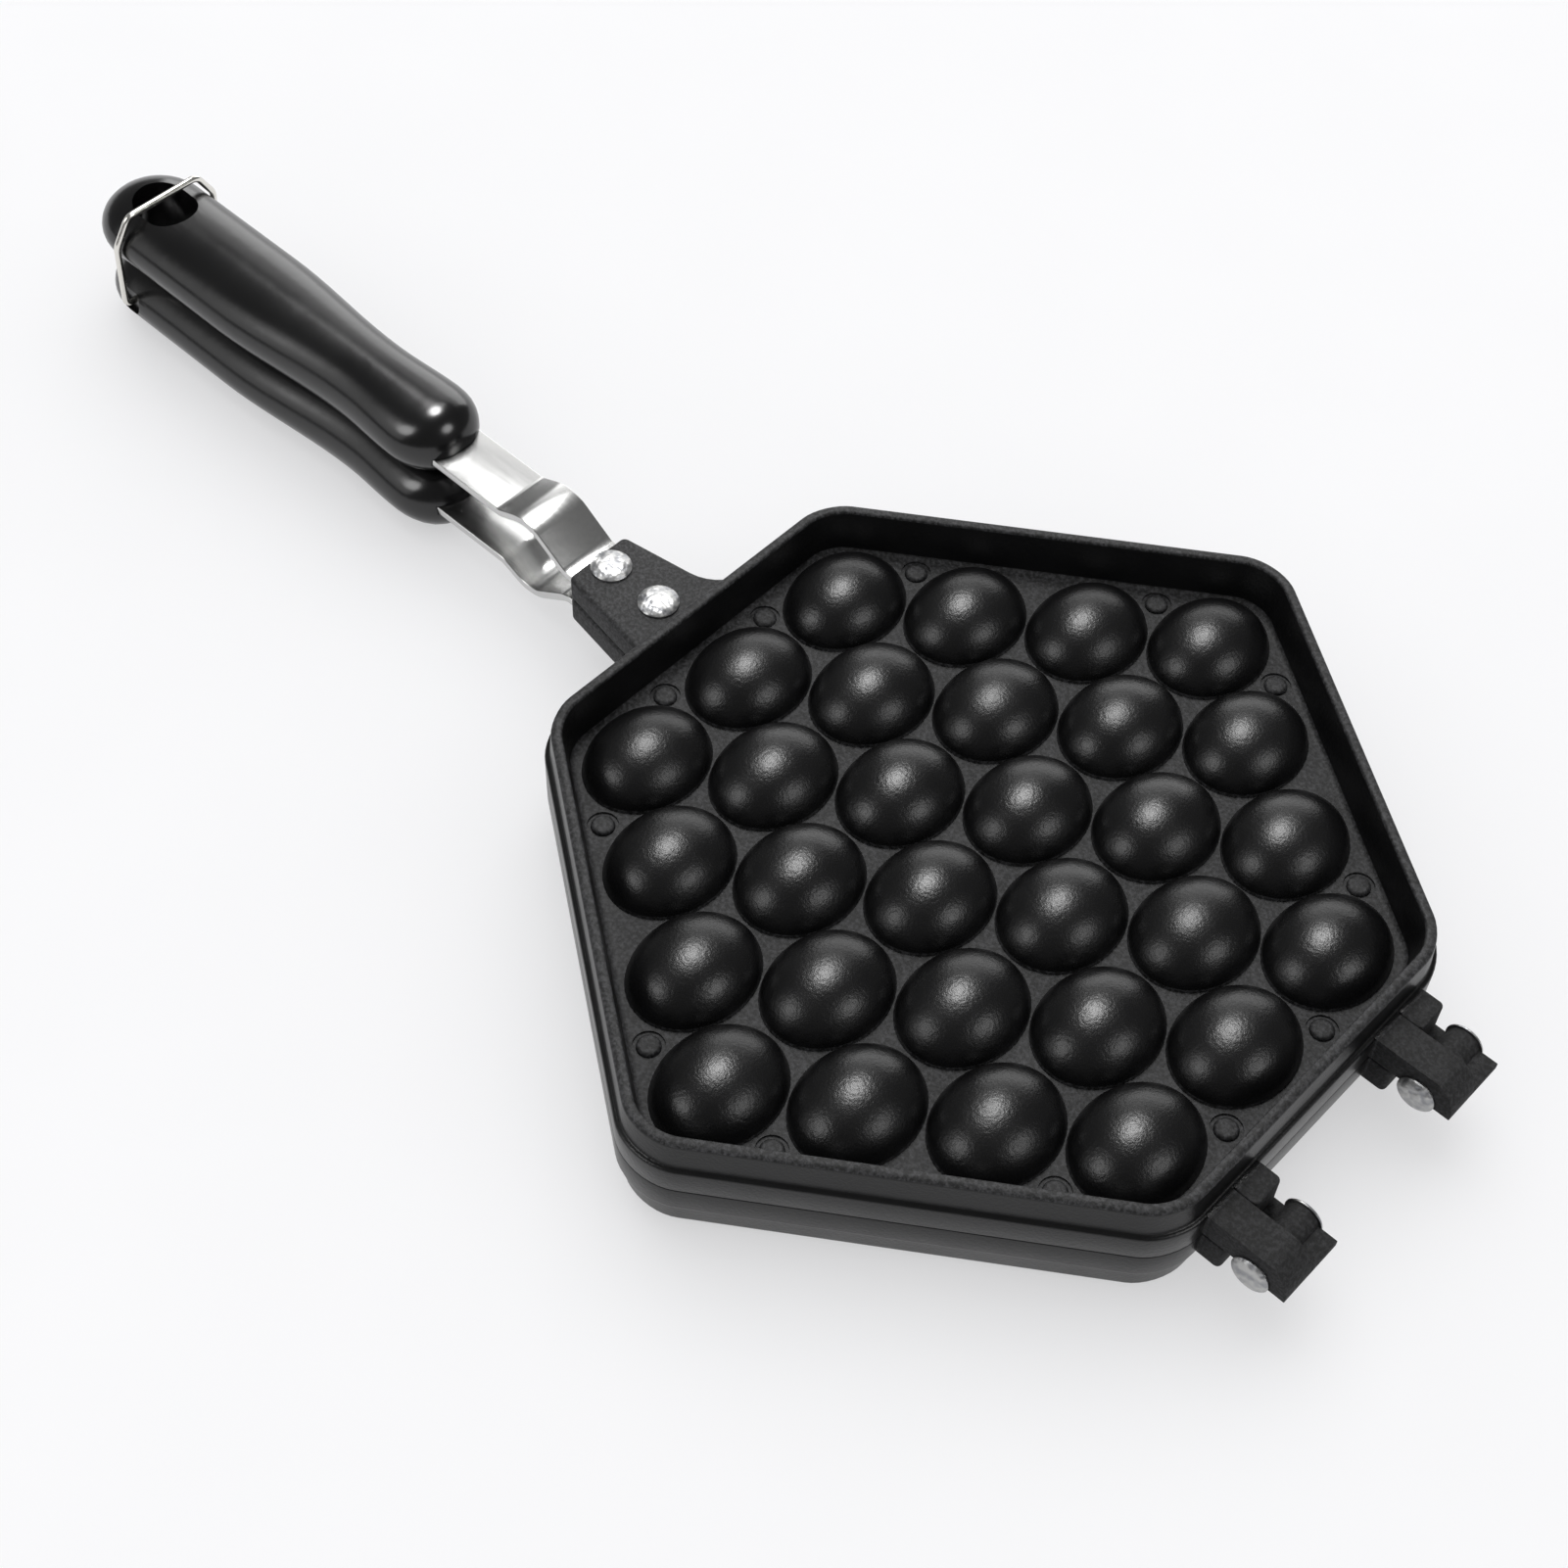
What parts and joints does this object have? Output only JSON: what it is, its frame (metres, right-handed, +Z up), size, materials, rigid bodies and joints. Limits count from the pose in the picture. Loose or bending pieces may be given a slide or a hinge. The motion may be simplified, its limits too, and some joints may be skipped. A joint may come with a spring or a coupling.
{
  "type": "egg waffle pan",
  "caption": "Two-sided hob pan for egg waffles: hexagonal cast plates with egg-shaped pockets, hinged at one side, with strap handles, moulded grips and a wire clip.",
  "frame": {"origin": "under the middle of the pan's overall length and width, on the surface that it stands on", "axes": "+X from the handles towards the hinges, +Z up out of the upper plate, +Y to the left when one looks from the handles towards the hinges"},
  "size_m": [0.3884, 0.2018, 0.0377],
  "materials": {
    "cast_nonstick": "cast aluminium under a dull near-black non-stick coat, finely rough",
    "grip_bakelite": "polished black moulded phenolic",
    "strap_steel": "pressed steel strip, satin",
    "rivet_metal": "set rivets, satin",
    "screw_steel": "plated screw",
    "clip_wire": "bright drawn wire"
  },
  "bodies": {
    "lower_half": {"lower_plate": "cast_nonstick", "lower_strap": "strap_steel", "lower_strap_rivet_outer": "rivet_metal", "lower_strap_rivet_inner": "rivet_metal", "lower_grip": "grip_bakelite", "lower_grip_screw": "screw_steel", "hinge_rivet_right": "rivet_metal", "hinge_rivet_left": "rivet_metal"},
    "upper_half": {"upper_plate": "cast_nonstick", "upper_strap": "strap_steel", "upper_strap_rivet_outer": "rivet_metal", "upper_strap_rivet_inner": "rivet_metal", "upper_grip": "grip_bakelite", "upper_grip_screw": "screw_steel"},
    "wire_clip": {"wire_clip": "clip_wire"}
  },
  "joints": [
    {"name": "lid_open", "type": "hinge", "parent": "lower_half", "child": "upper_half", "pos_m": [0.18625, 0, 0.0179], "axis": [0, 1, 0], "range_deg": [0, 130]},
    {"name": "clip_swing", "type": "hinge", "parent": "lower_half", "child": "wire_clip", "pos_m": [-0.17925, 0, 0.0099], "axis": [0, -1, 0], "range_deg": [0, 180]}
  ]
}
